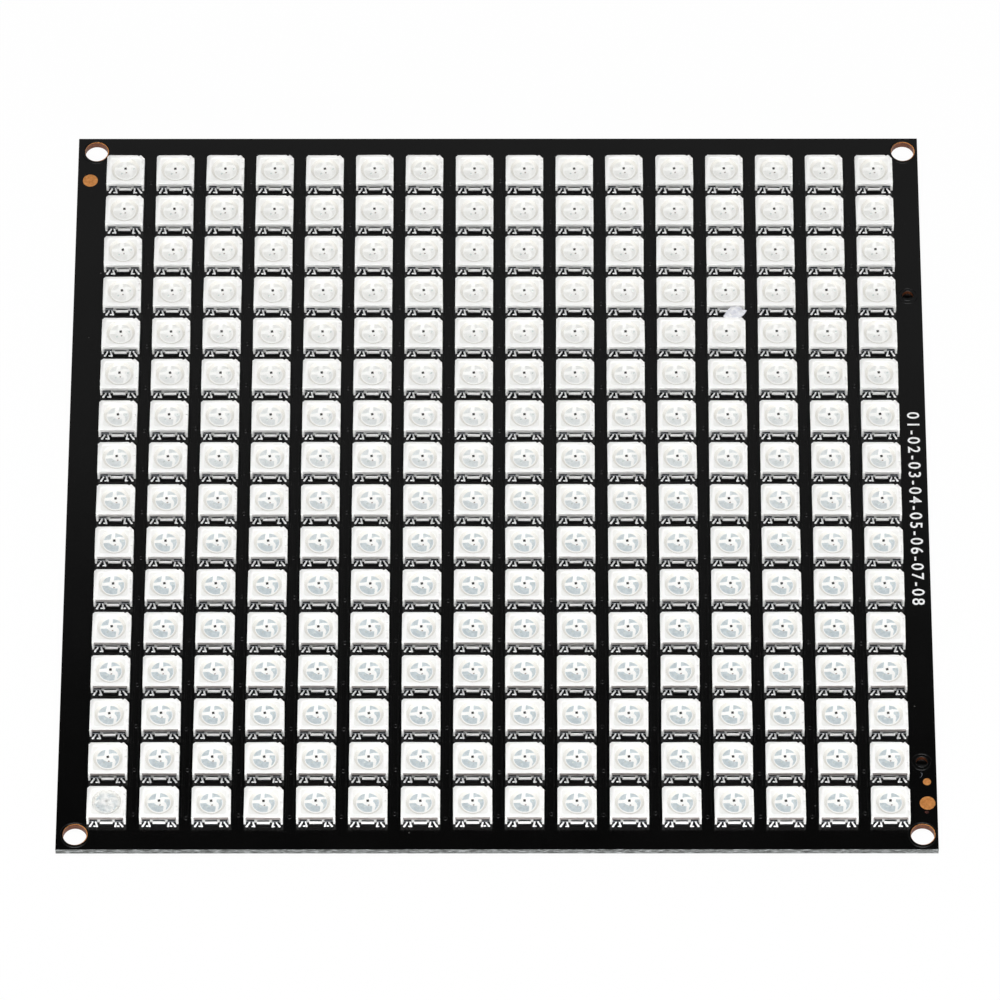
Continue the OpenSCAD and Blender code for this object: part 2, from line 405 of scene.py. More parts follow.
def rounded_square(half_x, half_y, radius, z, steps=4, centre=(0, 0)):
    """Points round a rectangle with rounded corners at one height."""
    points = []
    for quarter, (sx, sy) in enumerate(((1, 1), (-1, 1), (-1, -1), (1, -1))):
        for i in range(steps + 1):
            turn = math.pi / 2 * (quarter + i / steps)
            points.append((
                centre[0] + sx * (half_x - radius) + radius * math.cos(turn),
                centre[1] + sy * (half_y - radius) + radius * math.sin(turn),
                z,
            ))
    return points


def lathe_shape(profile, count, centre=(0, 0)):
    """Turns a closed profile of radius and height pairs round the upright axis."""
    rings = [circle(r, z, count, centre) for r, z in profile]
    points = [p for ring in rings for p in ring]
    faces = []
    for level in range(len(profile)):
        faces += band(level * count, (level + 1) % len(profile) * count, count)
    return points, faces


def mesh_object(name, points, faces):
    """A mesh object from a shape, in whatever unit the points are in."""
    mesh = bpy.data.meshes.new(name)
    mesh.from_pydata(points, [], faces)
    piece = bpy.data.objects.new(name, mesh)
    bpy.context.scene.collection.objects.link(piece)
    return piece


def baked(piece):
    """The piece's mesh with its modifiers applied, as points, faces and material numbers."""
    graph = bpy.context.evaluated_depsgraph_get()
    shown = piece.evaluated_get(graph)
    mesh = shown.to_mesh()
    points = [tuple(v.co) for v in mesh.vertices]
    faces = [tuple(p.vertices) for p in mesh.polygons]
    slots = [p.material_index for p in mesh.polygons]
    shown.to_mesh_clear()
    return points, faces, slots


def carved(shape, cutters, bevel_mm, segments=1, angle=30):
    """Cuts shapes out of a shape and rounds its sharp edges; returns points, faces and slots."""
    body = mesh_object("carving", *shape)
    helpers = []
    for cutter in cutters:
        tool = mesh_object("carving_tool", *cutter)
        cut = body.modifiers.new("cut", "BOOLEAN")
        cut.operation = "DIFFERENCE"
        cut.solver = "EXACT"
        cut.object = tool
        helpers.append(tool)
    if bevel_mm:
        edge = body.modifiers.new("edge", "BEVEL")
        edge.width = bevel_mm
        edge.segments = segments
        edge.limit_method = "ANGLE"
        edge.angle_limit = math.radians(angle)
    result = baked(body)
    for helper in [body, *helpers]:
        bpy.data.meshes.remove(helper.data)
    return result


def painted(shape, slot):
    """A shape whose faces all take one of its piece's materials."""
    return shape[0], shape[1], [slot] * len(shape[1])


def joined(shapes):
    """Several shapes as one list of points, faces and slots."""
    points, faces, slots = [], [], []
    for shape in shapes:
        start = len(points)
        points += shape[0]
        faces += [tuple(start + i for i in face) for face in shape[1]]
        slots += shape[2] if len(shape) > 2 else [0] * len(shape[1])
    return points, faces, slots


def make_piece(name, shape, finishes, replaces=(), sharp_deg=40):
    """A finished piece from a shape in millimetres, riding on the panel."""
    points, faces, slots = joined([shape])
    piece = mesh_object(name, [(x * MM, y * MM, z * MM) for x, y, z in points], faces)
    for make in finishes:
        piece.data.materials.append(finish(make))
    piece.data.polygons.foreach_set("material_index", slots)
    piece.data.polygons.foreach_set("use_smooth", [True] * len(faces))
    piece.data.set_sharp_from_angle(angle=math.radians(sharp_deg))
    piece.data.update()
    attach(piece, "root")
    if replaces:
        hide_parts(*replaces)
    return piece


def moved(shape, place):
    """A shape turned and shifted by a matrix."""
    points = [tuple(place @ Vector(p)) for p in shape[0]]
    if place.determinant() > 0:
        return (points, *shape[1:])
    return (points, [tuple(reversed(face)) for face in shape[1]], *shape[2:])


# ---------------------------------------------------------------- sizes and places

def box_mm(node):
    """The low and the high corner of a CAD node's box, in millimetres."""
    return tuple(Vector(corner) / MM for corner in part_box(node))


def length(name, description, default):
    """A length property, given in millimetres and kept in metres."""
    return FloatProperty(name=name, description=description, default=default * MM, unit="LENGTH", precision=5)


def angle(name, description, degrees):
    """An angle property, given in degrees and kept in radians."""
    return FloatProperty(name=name, description=description, default=math.radians(degrees), subtype="ANGLE")


def power(name, description, watts):
    """A property for the power of a light."""
    return FloatProperty(name=name, description=description, default=watts, unit="POWER")


def colour(name, description, code):
    """A colour property, given as sRGB hex and kept linear."""
    return FloatVectorProperty(
        name=name, description=description, default=linear(code), size=4, min=0, max=1, subtype="COLOR",
    )


class PanelSizes(bpy.types.PropertyGroup):
    """Sizes of the pieces that repeat over the panel."""

    lamp_w: length("Lamp width", "Width of a lamp housing", 5.1)
    lamp_top_d: length("Lamp top depth", "Depth of a housing's top face", 4.76)
    parting_h: length("Parting height", "Height of the housing's parting line", 0.9)
    mark_cut: length("Marked corner", "Corner cut that marks the first contact", 0.5)
    small_cut: length("Small corner", "Corner cut beside the marked one", 0.28)
    post_w: length("Post width", "Width of a housing's corner posts", 0.28)
    recess_d: length("Lead recess", "Depth of the recess behind the leads", 0.3)
    bar_w: length("Foot bar width", "Width of the bar between the leads", 1.7)
    bar_h: length("Foot bar height", "Height of the bar between the leads", 0.36)
    ledge_w: length("Ledge width", "Width of the ledge on the right-hand side", 0.27)
    ledge_drop: length("Ledge drop", "How far the ledge lies under the top", 0.1)
    gate_r: length("Gate mark radius", "Radius of the moulding gate's mark", 0.2)
    gate_gap: length("Gate mark gap", "Distance of the gate's mark from the marked corner", 0.31)
    gate_in: length("Gate mark reach", "How far the gate's mark reaches into the top", 0.12)
    gate_h: length("Gate mark height", "Height of the gate's mark", 0.3)
    pool_w: length("Pool width", "Width of the shallow pool round the cup", 4.1)
    pool_l: length("Pool length", "Length of the shallow pool round the cup", 3.92)
    pool_r: length("Pool corner", "Radius of the pool's corners", 0.45)
    pool_drop: length("Pool depth", "Depth of the pool under the top face", 0.05)
    cup_top_d: length("Cup mouth", "Diameter of the reflector cup at the pool", 3.84)
    cup_floor_d: length("Cup floor", "Diameter of the reflector cup's floor", 3.06)
    cup_depth: length("Cup depth", "Depth of the cup's floor under the top face", 0.4)
    lead_w: length("Lead width", "Width of a lead", 1.0)
    lead_t: length("Lead thickness", "Thickness of a lead", 0.15)
    lead_pitch: length("Lead pitch", "Distance between the leads of one side", 3.3)
    edge_r: length("Edge radius", "Rounding of moulded edges", 0.04)
    corner_ring: length("Corner ring", "Width of the copper ring round a corner hole", 0.07)
    tool_ring: length("Tooling ring", "Width of the copper ring round a tooling hole", 0.2)
    copper_t: length("Sleeve thickness", "Thickness of the copper on a plated hole's wall", 0.05)
    columns: IntProperty(name="Columns", description="How many lamps stand in a row", default=16, min=2)
    seed: IntProperty(name="Seed", description="Seed of the placing scatter", default=7)


class PanelColours(bpy.types.PropertyGroup):
    """The darker and the paler tone of each main finish."""

    mask_dark: colour("Mask, darker", "Darker tone of the solder mask", "#030303")
    mask_pale: colour("Mask, paler", "Paler tone of the solder mask", "#060606")
    copper_dark: colour("Copper, darker", "Darker tone of the bare copper", "#CC8040")
    copper_pale: colour("Copper, paler", "Paler tone of the bare copper", "#F0A862")
    resin_dark: colour("Resin, darker", "Darker tone of the moulded resin", "#F4F4F2")
    resin_pale: colour("Resin, paler", "Paler tone of the moulded resin", "#FAFAF9")
    silver_dark: colour("Silver, darker", "Darker tone of the silver plate in the front rows", "#C4D0D6")
    silver_pale: colour("Silver, paler", "Paler tone of the silver plate in the front rows", "#DCE5E9")
    ceramic_dark: colour("Ceramic, darker", "Darker tone of the capacitors", "#8E7556")
    ceramic_pale: colour("Ceramic, paler", "Paler tone of the capacitors", "#A78D6C")


def sizes_mm(context):
    """The panel's sizes in millimetres, with those that the frame gives."""
    props = context.scene.panel_sizes
    low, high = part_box("housings_row_01")
    lead_low, lead_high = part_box("leads_row_01")
    lengths = [key for key in PanelSizes.__annotations__ if key not in ("columns", "seed")]
    values = {key: getattr(props, key) / MM for key in lengths}
    values["d"] = (high[1] - low[1]) / MM
    values["h"] = (high[2] - low[2]) / MM
    values["reach"] = (lead_high[1] - lead_low[1]) / MM / 2
    return SimpleNamespace(**values)


def lamp_places(context, row):
    """The frame of each lamp in a row, left to right, with the small scatter of placing by machine."""
    props = context.scene.panel_sizes
    low, high = box_mm("housings_row_" + row)
    width = props.lamp_w / MM
    pitch = (high[0] - low[0] - width) / (props.columns - 1)
    draw = random.Random(props.seed * 100 + int(row))
    places = []
    for column in range(props.columns):
        x = low[0] + width / 2 + column * pitch + draw.uniform(-0.03, 0.03)
        y = (low[1] + high[1]) / 2 + draw.uniform(-0.03, 0.03)
        turn = Matrix.Rotation(math.radians(draw.uniform(-0.5, 0.5)), 4, "Z")
        places.append(Matrix.Translation((x, y, low[2])) @ turn)
    return places


# ---------------------------------------------------------------- the lamp's pieces

def housing_shape(s, dashes):
    """A moulded housing: drafted body, lead bays with a foot bar, ledge, shallow recess and cup."""
    x, cut, nick = s.lamp_w / 2, s.mark_cut, s.small_cut

    def ring(y, z):
        outline = ((-x, -y), (x, -y), (x, y - cut), (x - cut, y), (-x + nick, y), (-x, y - nick))
        return [(px, py, z) for px, py in outline]

    body = prism_shape([ring(s.d / 2, 0), ring(s.d / 2, s.parting_h), ring(s.lamp_top_d / 2, s.h)])
    wall, out = s.d / 2 - s.recess_d, 1.0
    bay, groove, lip_z = x - s.post_w, s.lamp_top_d / 2 - 0.05, s.h - 0.1
    cutters, bars = [], []
    for side in (-1, 1):
        for half, start, low, top in (
            (bay, wall, -out, s.parting_h),
            (s.bar_w / 2 - 0.05, wall - 0.3, -out, s.parting_h),
            (bay, groove, s.parting_h - 0.01, lip_z),
        ):
            near, far = sorted((side * start, side * (s.d / 2 + out)))
            cutters.append(box_shape((-half, near, low), (half, far, top)))
        lean = [(wall + 0.08, 0.0), (s.d / 2 - 0.03, 0.0), (s.d / 2 - 0.1, s.bar_h), (wall + 0.08, s.bar_h)]
        bar = prism_shape([[(end, side * y, z) for y, z in lean] for end in (-s.bar_w / 2, s.bar_w / 2)])
        if side < 0:
            bar = (bar[0], [tuple(reversed(face)) for face in bar[1]])
        bars.append(carved(bar, [], 0.03))
    cutters.append(box_shape((x - s.ledge_w, -s.d, s.h - s.ledge_drop), (x + out, s.d, s.h + out)))
    gate = (x - s.mark_cut - s.gate_gap, s.lamp_top_d / 2 - s.gate_in + s.gate_r)
    cutters.append(prism_shape([circle(s.gate_r, z, 16, gate) for z in (s.h - s.gate_h, s.h + out)]))
    lip, step = 0.09, s.pool_drop * 0.5
    for shrink, z in ((0, s.h - step), (lip, s.h - s.pool_drop)):
        half_x, half_y = s.pool_w / 2 - shrink, s.pool_l / 2 - shrink
        rim = [rounded_square(half_x, half_y, s.pool_r - shrink, level) for level in (z, s.h + out)]
        cutters.append(prism_shape(rim))
    cup_floor = s.h - s.cup_depth
    slope = (s.cup_top_d - s.cup_floor_d) / 2 / (s.cup_depth - s.pool_drop)
    mouth = s.cup_depth - s.pool_drop + 0.03
    cup = [circle(s.cup_floor_d / 2 + slope * z, cup_floor + z, 40) for z in (0, mouth)]
    cutters.append(prism_shape(cup))
    for start, end in dashes:
        cutters.append(box_shape((x - s.ledge_w - 0.01, start, s.h - 0.35), (x - s.ledge_w + 0.12, end, s.h)))
    points, faces, slots = carved(body, cutters, s.edge_r)
    for number, face in enumerate(faces):
        middle = sum((Vector(points[i]) for i in face), Vector()) / len(face)
        # The groove walls between the parting line and the lip take the resin in painted shade.
        if abs(abs(middle.y) - groove) < 0.03 and s.parting_h < middle.z < lip_z:
            slots[number] = 3
        across = max(abs(middle.x) - s.pool_w / 2, abs(middle.y) - s.pool_l / 2)
        if middle.z < cup_floor - 0.01 or across > 0:
            continue
        # The cup's floor takes the resin painted whiter as painted light.
        if middle.z < cup_floor + 0.01:
            slots[number] = 4
        # The cup's wall takes the resin in painted shade; the pool's step takes it too, as a darker line at
        # the silicone's edge.
        elif middle.z < s.h - s.pool_drop - 0.005:
            slots[number] = 2
        elif across > -lip * 0.95 and middle.z < s.h - step * 0.9:
            slots[number] = 2
        elif middle.z < s.h - s.pool_drop * 0.9:
            slots[number] = 1
    return joined([(points, faces, slots), *bars])


def lead_shape(s, side, x):
    """One lead: a stub out of the wall, a rounded bend and a leg down to the board."""
    half, t, wall, top, out = s.lead_w / 2, s.lead_t, s.d / 2 - s.recess_d, s.parting_h, s.reach
    outer, inner = 0.16, 0.04
    bends = [math.pi / 2 * i / 3 for i in range(4)]
    profile = [(wall, top)]
    profile += [(out - outer + outer * math.sin(a), top - outer + outer * math.cos(a)) for a in bends]
    profile += [(out, 0.0), (out - t, 0.0)]
    profile += [(out - t - inner + inner * math.cos(a), top - t - inner + inner * math.sin(a)) for a in bends]
    profile += [(wall, top - t)]
    rings = [[(px, y, z) for y, z in profile] for px in (-half, half)]
    return moved(prism_shape(rings), lead_place(side, x))


def lead_place(side, x):
    """Where a lead stands, with its own X pointing away from the lamp's middle."""
    place = Matrix.Translation((x, 0, 0))
    if x < 0:
        place = place @ Matrix.Scale(-1, 4, (1, 0, 0))
    if side < 0:
        place = Matrix.Rotation(math.pi, 4, "Z") @ place
    return place


def ellipse(centre, rx, ry, z, count=8):
    """Points round an upright slice of a solder ridge."""
    turns = [2 * math.pi * (i + 0.5) / count for i in range(count)]
    return [(centre[0] + rx * math.cos(t), centre[1] + ry * math.sin(t), z) for t in turns]


# Height of each slice of a solder ridge, its reach past the lead, its half depth and its share of the width.
RIDGE_SLICES = (
    (0.0, 0.13, 0.13, 1.25), (0.1, 0.1, 0.1, 1.1), (0.3, 0.05, 0.08, 1.0),
    (0.62, 0.01, 0.07, 1.0), (0.86, 0.0, 0.04, 0.8),
)
RIDGE_BEND = 0.7


def ridge_shape(s, low_x, high_x, width, lift):
    """Solder drawn up along one edge of a lead, concave towards its toe."""
    rings = []
    for z, forward, ry, wide in RIDGE_SLICES:
        share = min(1, z / RIDGE_BEND)
        middle = (low_x + (high_x - low_x) * share, s.reach + forward)
        rings.append(ellipse(middle, width * wide, ry, z * lift))
    return prism_shape(rings)


def solder_shape(s, side, x, look):
    """The ridges at both edges of a lead, the toe between them and the wetted pad."""
    half, out = s.lead_w / 2, s.reach
    splay, foot, lift = look
    shapes = [
        ridge_shape(s, 0.47 + splay, 0.1 + splay * 0.5, 0.135, lift),
        ridge_shape(s, -0.46 - splay * 0.4, -0.34, 0.125, lift),
    ]
    toe = prism_shape([
        ellipse((-0.22 + foot * 0.2, out + 0.14), 0.2, 0.08, 0.0),
        ellipse((-0.22 + foot * 0.2, out + 0.1), 0.12 + foot * 0.06, 0.04, 0.08 + foot * 0.06),
    ])
    pad = box_shape((-half - 0.06, out - 0.2, 0.0), (half + 0.06, out + 0.1, 0.02))
    return moved(joined([*shapes, toe, painted(pad, 1)]), lead_place(side, x))


def flag_shape(outer_r, start, end, inner, z, t):
    """A lead frame's flag: an arc along the cup's floor, closed through its inner points."""
    steps = max(3, round(abs(end - start) / 12))
    arc = [math.radians(start + (end - start) * i / steps) for i in range(steps + 1)]
    outline = [(outer_r * math.cos(a), outer_r * math.sin(a)) for a in arc] + list(inner)
    return prism_shape([[(px, py, level) for px, py in outline] for level in (z, z + t)])


# The start and the end of each flag's arc, in degrees, and its inner points.
FLAGS = (
    (185, 291, ((0.58, -0.95), (0.6, -0.54), (0.02, -0.54), (-0.39, -0.34), (-0.67, -0.08))),
    (307, 379, ((0.72, 0.46), (0.68, 0.15), (0.92, -0.12), (1.04, -0.5))),
    (33, 86, ((0.1, 0.74), (0.6, 0.85))),
    (104, 166, ((-0.51, 0.48), (-0.47, 0.64))),
)


def frame_shape(s):
    """The four silver flags on the cup's floor, laid out like a pinwheel."""
    r, z, t = s.cup_floor_d / 2 - 0.07, s.h - s.cup_depth, 0.015
    return joined([flag_shape(r, start, end, inner, z, t) for start, end, inner in FLAGS])


def turned_box(size, centre, angle):
    """A small block with its base centre at a place, turned about the upright axis."""
    w, d, h = size
    shape = box_shape((-w / 2, -d / 2, 0), (w / 2, d / 2, h))
    return moved(shape, Matrix.Translation(centre) @ Matrix.Rotation(math.radians(angle), 4, "Z"))


def fill_shape(s):
    """The clear fill's face in the cup's mouth, dished a little towards the middle."""
    rim, level, count = s.cup_top_d / 2, s.h - s.pool_drop, 40
    rings = [(rim - 0.01, -0.004), (rim * 0.85, -0.015), (rim * 0.5, -0.025)]
    points = [p for r, z in rings for p in circle(r, level + z, count)] + [(0, 0, level - 0.03)]
    faces = []
    for number in range(len(rings) - 1):
        faces += band(number * count, (number + 1) * count, count)
    last = (len(rings) - 1) * count
    faces += [(last + i, last + (i + 1) % count, len(points) - 1) for i in range(count)]
    return points, faces


# ---------------------------------------------------------------- operators

class PieceOperator:
    """What the operators of this panel share."""

    bl_options = {"REGISTER", "UNDO"}

    def execute(self, context):
        self.make(context)
        return {"FINISHED"}


def board_holes():
    """The place and the radius of each plated hole, in millimetres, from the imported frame."""
    mount = frame["record"]["mounts"][0]
    half_x, half_y = mount["dims"]["spacing_x_mm"] / 2, mount["dims"]["spacing_y_mm"] / 2
    middle = mount["pos_m"][0] / MM
    corners = [(middle + sx * half_x, sy * half_y) for sx in (-1, 1) for sy in (-1, 1)]
    plug_low, plug_high = box_mm("hole_plugs")
    r = (plug_high[0] - plug_low[0]) / 2
    x = (plug_low[0] + plug_high[0]) / 2
    tools = [(x, plug_high[1] - r), (x, plug_low[1] + r)]
    return SimpleNamespace(corners=corners, corner_r=mount["dims"]["hole_r_mm"], tools=tools, tool_r=r)


# How far the copper rings stand off the middle of the drilled corner holes.
DRIFT = (0.045, 0.04)


class BuildBoard(PieceOperator, bpy.types.Operator):
    """Makes the laminate core and its two solder masks"""

    bl_idname = "lamp_panel.build_board"
    bl_label = "Board"

    def make(self, context):
        s = sizes_mm(context)
        holes = board_holes()
        for node, make, corner_extra, tool_extra in (
            ("core", laminate, s.copper_t, s.copper_t),
            ("mask_front", solder_mask, s.corner_ring, 0),
            ("mask_back", solder_mask, s.corner_ring, s.tool_ring),
        ):
            low, high = box_mm(node)
            deep, above = low[2] - 0.5, high[2] + 0.5
            drift = (0, 0) if node == "core" else DRIFT
            r = holes.corner_r + corner_extra
            drills = [((x + drift[0], y + drift[1]), r, 72) for x, y in holes.corners]
            drills += [(place, holes.tool_r + tool_extra, 48) for place in holes.tools]
            if node == "mask_front":
                drills += [(place, r, 48) for place, r in mark_places()]
            cutters = [prism_shape([circle(r, z, count, p) for z in (deep, above)]) for p, r, count in drills]
            if node == "mask_back":
                for pad_low, pad_high in islands("wire_pads"):
                    cutters.append(box_shape((*pad_low[:2], deep), (*pad_high[:2], above)))
            shape = carved(box_shape(low, high), cutters, 0)
            make_piece("board_" + node, shape, [make], [node], sharp_deg=30)


def islands(node):
    """The box of each separate island of a CAD node's mesh, in millimetres."""
    mesh = frame["nodes"][node].data
    work = bmesh.new()
    work.from_mesh(mesh)
    bmesh.ops.remove_doubles(work, verts=work.verts, dist=1e-7)
    left, found = set(work.verts), []
    while left:
        island, edge = set(), [left.pop()]
        while edge:
            vertex = edge.pop()
            island.add(vertex)
            for link in vertex.link_edges:
                other = link.other_vert(vertex)
                if other in left:
                    left.discard(other)
                    edge.append(other)
        places = [v.co / MM for v in island]
        found.append(tuple(Vector(pick(p[i] for p in places) for i in range(3)) for pick in (min, max)))
    work.free()
    return found


def mark_places():
    """The centre and radius of each round copper mark."""
    boxes = islands("alignment_marks")
    return [(((a[0] + b[0]) / 2, (a[1] + b[1]) / 2), (b[0] - a[0]) / 2) for a, b in boxes]


def track_shape(x, y0, y1, width, z, height=0.018):
    """A low rounded ridge along Y, where the mask lies over a copper track."""
    half, flank = width / 2, height * 0.8
    section = ((-half, 0.0), (-half * 0.55, flank), (0.0, height), (half * 0.55, flank), (half, 0.0))
    points = [(x + px, y, z + pz) for y in (y0, y1) for px, pz in section]
    return points, [(i, i + 1, i + 6, i + 5) for i in range(4)]


def rim_shape(centre, r, half, height, z, count):
    """A low rounded rim on the mask."""
    rings = ((r - half, 0.0), (r - half * 0.4, height), (r + half * 0.4, height), (r + half, 0.0))
    points = [p for ring_r, dz in rings for p in circle(ring_r, z + dz, count, centre)]
    faces = []
    for level in range(3):
        faces += band((level + 1) * count, level * count, count)
    return points, faces


# Where the tracks lie between two columns of lamps, from the middle, and how wide they are.
TRACKS = ((-0.5, 0.18), (-0.12, 0.3), (0.42, 0.18))
VIA_DROP = 1.2


class BuildTracks(PieceOperator, bpy.types.Operator):
    """Raises the mask over the copper tracks, the tented vias and the rings round the holes"""

    bl_idname = "lamp_panel.build_tracks"
    bl_label = "Tracks under the mask"

    def make(self, context):
        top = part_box("mask_front")[1][2] / MM
        places = [p.translation for p in lamp_places(context, ROWS[0])]
        last = lamp_places(context, ROWS[-1])[0].translation.y
        pitch = (places[-1].x - places[0].x) / (len(places) - 1)
        draw = random.Random(3)
        shapes = []
        for number in range(len(places) - 1):
            middle = places[0].x + (number + 0.5) * pitch
            for offset, width in TRACKS:
                x = middle + offset + draw.uniform(-0.04, 0.04)
                shapes.append(track_shape(x, last - 1.5, places[0].y + 2, width, top))
            for row in range(len(ROWS)):
                via_y = places[0].y - row * pitch - VIA_DROP + draw.uniform(-0.4, 0.4)
                via_x = middle + draw.uniform(-0.15, 0.15)
                shapes.append(rim_shape((via_x, via_y), 0.24, 0.07, 0.03, top, 20))
        holes = board_holes()
        for x, y in holes.corners:
            shapes.append(rim_shape((x - 0.02, y - 0.02), holes.corner_r + 0.32, 0.08, 0.025, top, 72))
        for centre in holes.tools:
            shapes.append(rim_shape(centre, holes.tool_r + 0.5, 0.08, 0.025, top, 48))
            shapes.append(rim_shape(centre, holes.tool_r + 0.07, 0.05, 0.03, top, 48))
        make_piece("mask_over_tracks", joined(shapes), [solder_mask], sharp_deg=80)


SCRAP_PLACE = (32.1, 27.2)
SCRAP_OUTLINE = (
    (-1.6, -0.65), (-1.3, -0.95), (-0.25, -0.98), (0.65, -0.92), (1.2, -0.42), (1.6, 0.35),
    (1.05, 0.5), (0.8, 0.95), (0.25, 1.1), (-0.55, 0.98), (-1.07, 0.35),
)
SCRAP_LEVELS = ((0.8, -0.22), (1.0, -0.14), (0.95, -0.06), (0.6, -0.01))
LINT_PATH = ((55.4, -45.62), (55.6, -45.85), (55.62, -46.1), (55.5, -46.3), (55.34, -46.48))
LINT_SECTION = ((-0.035, 0.01), (0.035, 0.01), (0.035, 0.05), (-0.035, 0.05))
FLUX_PLACE = (56.1, -51.8)


class BuildScrap(PieceOperator, bpy.types.Operator):
    """Leaves a torn scrap of silicone and a fibre where they stuck to the panel"""

    bl_idname = "lamp_panel.build_scrap"
    bl_label = "Stuck scraps"

    def make(self, context):
        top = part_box("housings_row_01")[1][2] / MM
        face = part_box("mask_front")[1][2] / MM
        draw = random.Random(11)
        (x, y), (spot_x, spot_y) = SCRAP_PLACE, FLUX_PLACE
        torn = [
            [(x + px * size, y + py * size, top + height - draw.uniform(0, 0.05)) for px, py in SCRAP_OUTLINE]
            for size, height in SCRAP_LEVELS
        ]
        lint = [[(px + dx, py, face + dz) for dx, dz in LINT_SECTION] for px, py in LINT_PATH]
        spot = [
            [(spot_x + px * 0.28, spot_y + py * 0.2, z) for px, py, z in circle(1.0, face + dz, 12)]
            for dz in (0.002, 0.008)
        ]
        make_piece("silicone_scrap", prism_shape(torn), [silicone_scrap], sharp_deg=60)
        make_piece("stuck_fibre", prism_shape(lint), [stuck_lint])
        make_piece("flux_spot", prism_shape(spot), [flux_stain])


class BuildPlatings(PieceOperator, bpy.types.Operator):
    """Makes the copper sleeves and rings of the plated holes"""

    bl_idname = "lamp_panel.build_platings"
    bl_label = "Plated holes"

    def make(self, context):
        s = sizes_mm(context)
        holes = board_holes()
        low, high = box_mm("hole_platings")
        mask_t = (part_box("mask_front")[1][2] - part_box("mask_front")[0][2]) / MM
        under, over = low[2] + mask_t, high[2] - mask_t
        shapes = []
        for places, r, ring, drift, sunk in (
            (holes.corners, holes.corner_r, s.corner_ring, DRIFT, 0),
            (holes.tools, holes.tool_r, s.tool_ring, (0, 0), 0.002),
        ):
            wall = [(r + s.copper_t, under), (r + s.copper_t, over), (r, over), (r, under)]
            for place in places:
                shapes.append(ring_shape(place, drift, r, r + ring, over, high[2] - sunk))
                shapes.append(ring_shape(place, drift, r, r + ring, low[2], under))
                shapes.append(painted(lathe_shape(wall, 72, place), 1))
        finishes = [bare_copper, sleeve_copper]
        make_piece("copper_sleeves", joined(shapes), finishes, ["hole_platings"])


def ring_shape(centre, drift, inner_r, outer_r, low, high, count=72):
    """A flat copper ring whose hole may sit off its middle."""
    outer = [circle(outer_r, z, count, (centre[0] + drift[0], centre[1] + drift[1])) for z in (low, high)]
    inner = [circle(inner_r, z, count, centre) for z in (low, high)]
    points = outer[0] + outer[1] + inner[1] + inner[0]
    faces = []
    for level in range(4):
        faces += band(level * count, (level + 1) % 4 * count, count)
    return points, faces, [0] * 2 * count + [1] * count + [0] * count


# A lathe profile stops this short of its axis, so that its innermost ring has a length.
CORE_R = 0.001


class BuildMarks(PieceOperator, bpy.types.Operator):
    """Makes the round copper marks, the hole plugs and the wire pads"""

    bl_idname = "lamp_panel.build_marks"
    bl_label = "Marks, plugs and wire pads"

    def make(self, context):
        low, high = (corner[2] for corner in box_mm("alignment_marks"))
        dish = high - 0.012
        shapes = []
        for centre, r in mark_places():
            profile = ((CORE_R, dish), (r - 0.16, dish), (r - 0.1, high), (r, high), (r, low), (CORE_R, low))
            shapes.append(lathe_shape(profile, 56, centre))
        make_piece("copper_marks", joined(shapes), [bare_copper], ["alignment_marks"])
        holes = board_holes()
        low, high = (corner[2] for corner in box_mm("hole_plugs"))
        r = holes.tool_r - 0.002
        profile = ((CORE_R, high - 0.09), (r * 0.6, high - 0.06), (r, high), (r, low), (CORE_R, low))
        plugs = [lathe_shape(profile, 40, centre) for centre in holes.tools]
        make_piece("resin_plugs", joined(plugs), [solder_mask], ["hole_plugs"])
        pads = [carved(box_shape(a, b), [], 0.01) for a, b in islands("wire_pads")]
        make_piece("back_wire_pads", joined(pads), [bare_copper], ["wire_pads"])


class BuildCapacitors(PieceOperator, bpy.types.Operator):
    """Makes the chip capacitors of the back, with their end caps and solder"""

    bl_idname = "lamp_panel.build_capacitors"
    bl_label = "Capacitors"

    def make(self, context):
        blocks, solders = [], []
        cap, inset = 0.33, 0.02
        for (x0, y0, z0), (x1, y1, z1) in islands("capacitors"):
            low, high = (x0 + cap - inset, y0 + inset, z0 + inset), (x1 - cap + inset, y1 - inset, z1 - 0.01)
            blocks.append(carved(box_shape(low, high), [], 0.03))
            for a, b in ((x0, x0 + cap), (x1 - cap, x1)):
                blocks.append(painted(carved(box_shape((a, y0, z0), (b, y1, z1)), [], 0.05, segments=2), 1))
            for sign, x in ((-1, x0), (1, x1)):
                profile = ((0.0, z1), (0.28, z1), (0.24, z1 - 0.05), (0.08, z1 - 0.2), (0.0, z1 - 0.42))
                rings = [[(x + sign * px, y, z) for px, z in profile] for y in (y0 + 0.04, y1 - 0.04)]
                solders.append(prism_shape(rings))
        make_piece("chip_capacitors", joined(blocks), [ceramic, bright_tin], ["capacitors"])
        make_piece("capacitor_solder", joined(solders), [solder])


# The nicks along the ledge of each kind of housing: where each starts and ends.
DASHES = (
    ((-1.9, -1.5), (-1.3, -0.5), (0.6, 0.9)),
    ((-1.6, -1.2), (0.1, 0.3), (0.9, 1.5)),
    ((-1.95, -1.0), (-0.2, 0.2), (1.1, 1.3)),
    ((-1.4, -1.1), (-0.8, -0.6), (0.2, 1.2)),
)
HOUSING_FINISHES = (white_resin, pool_resin, cup_resin_painted_shade, wall_resin_painted_shade, floor_resin_painted_light)


class BuildHousings(PieceOperator, bpy.types.Operator):
    """Makes the moulded lamp housings, row by row"""

    bl_idname = "lamp_panel.build_housings"
    bl_label = "Lamp housings"

    def make(self, context):
        s = sizes_mm(context)
        kinds = [housing_shape(s, dashes) for dashes in DASHES]
        for row in ROWS:
            draw = random.Random(int(row))
            lamps = [moved(draw.choice(kinds), place) for place in lamp_places(context, row)]
            node = "housings_row_" + row
            make_piece("moulded_" + node, joined(lamps), HOUSING_FINISHES, [node])


# The least and the most splay, foot and lift of a lead's solder, and how many kinds of lamp it makes.
SOLDER_RANGES = ((-0.03, 0.05), (-0.6, 1.0), (0.85, 1.05))
SOLDER_KINDS = 6


